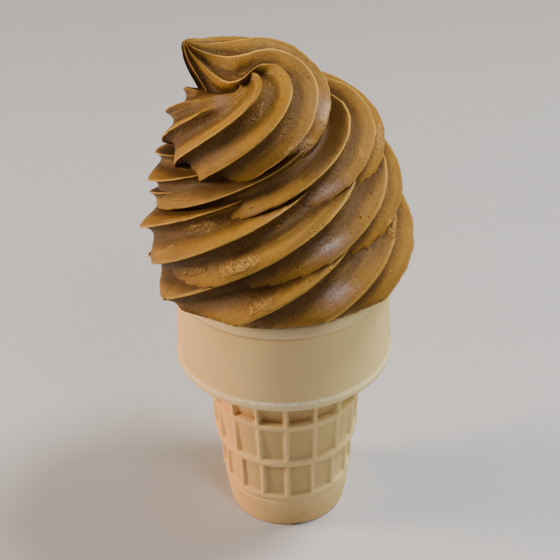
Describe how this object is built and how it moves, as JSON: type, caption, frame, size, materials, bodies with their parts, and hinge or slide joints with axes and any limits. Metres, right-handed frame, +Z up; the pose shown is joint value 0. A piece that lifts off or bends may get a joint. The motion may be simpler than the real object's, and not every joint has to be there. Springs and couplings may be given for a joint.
{
  "type": "soft serve cone",
  "caption": "Piped chocolate soft serve with a curled tip, standing in a flat-bottomed wafer cup with a smooth collar and a waffled foot.",
  "frame": {"origin": "centre of the foot's flat underside", "axes": "+Z up along the wafer cup's axis, -Y towards the viewer of the picture, +X to the viewer's right"},
  "size_m": [0.0756, 0.0793, 0.1501],
  "materials": {
    "wafer": "pale baked wafer, dry and matt, lighter on the collar and toasted towards the foot",
    "chocolate_soft_serve": "satin milk chocolate cream with soft grey highlights, fine pits and lightly torn ridges"
  },
  "bodies": {
    "root": {"wafer_cup": "wafer", "soft_serve": "chocolate_soft_serve"}
  },
  "joints": []
}
